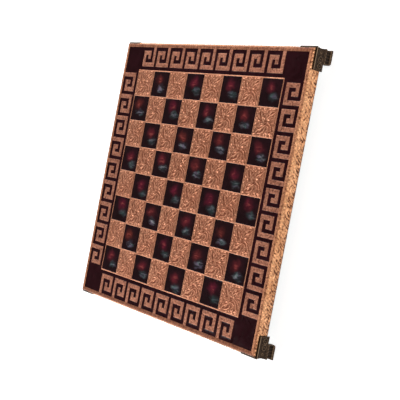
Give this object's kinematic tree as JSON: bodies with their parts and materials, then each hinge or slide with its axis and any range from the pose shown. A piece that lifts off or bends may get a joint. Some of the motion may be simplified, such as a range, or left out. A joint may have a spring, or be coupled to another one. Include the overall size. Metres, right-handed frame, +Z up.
{
  "type": "enamel chessboard",
  "caption": "Square chessboard of embossed copper with dark marbled enamel squares, a raised Greek key border, embossed side strips and cast corner feet.",
  "frame": {"origin": "on the ground under the middle of the board", "axes": "+Z up, +Y from rank 1 towards rank 8, +X from file a towards file h"},
  "size_m": [0.366, 0.366, 0.0309],
  "materials": {
    "panel_wood": "plain fibreboard",
    "copper_face": "embossed copper, satin lacquer, darkened in the hollows",
    "border_enamel": "glossy dark aubergine enamel",
    "square_enamel": "glossy dark enamel, marbled red and pearl grey",
    "copper_band": "embossed copper foil, bright on the raised parts",
    "base_felt": "thin felt",
    "antique_bronze": "cast, dark antique patina, rubbed on the edges",
    "screw_steel": "plated steel"
  },
  "bodies": {
    "root": {"core_panel": "panel_wood", "relief_sheet": "copper_face", "border_enamel": "border_enamel", "enamel_a1": "square_enamel", "enamel_a3": "square_enamel", "enamel_a5": "square_enamel", "enamel_a7": "square_enamel", "enamel_b2": "square_enamel", "enamel_b4": "square_enamel", "enamel_b6": "square_enamel", "enamel_b8": "square_enamel", "enamel_c1": "square_enamel", "enamel_c3": "square_enamel", "enamel_c5": "square_enamel", "enamel_c7": "square_enamel", "enamel_d2": "square_enamel", "enamel_d4": "square_enamel", "enamel_d6": "square_enamel", "enamel_d8": "square_enamel", "enamel_e1": "square_enamel", "enamel_e3": "square_enamel", "enamel_e5": "square_enamel", "enamel_e7": "square_enamel", "enamel_f2": "square_enamel", "enamel_f4": "square_enamel", "enamel_f6": "square_enamel", "enamel_f8": "square_enamel", "enamel_g1": "square_enamel", "enamel_g3": "square_enamel", "enamel_g5": "square_enamel", "enamel_g7": "square_enamel", "enamel_h2": "square_enamel", "enamel_h4": "square_enamel", "enamel_h6": "square_enamel", "enamel_h8": "square_enamel", "edge_band_back": "copper_band", "edge_band_left": "copper_band", "edge_band_front": "copper_band", "edge_band_right": "copper_band", "base_felt": "base_felt", "corner_foot_1": "antique_bronze", "corner_foot_2": "antique_bronze", "corner_foot_3": "antique_bronze", "corner_foot_4": "antique_bronze", "foot_screws": "screw_steel"}
  },
  "joints": []
}
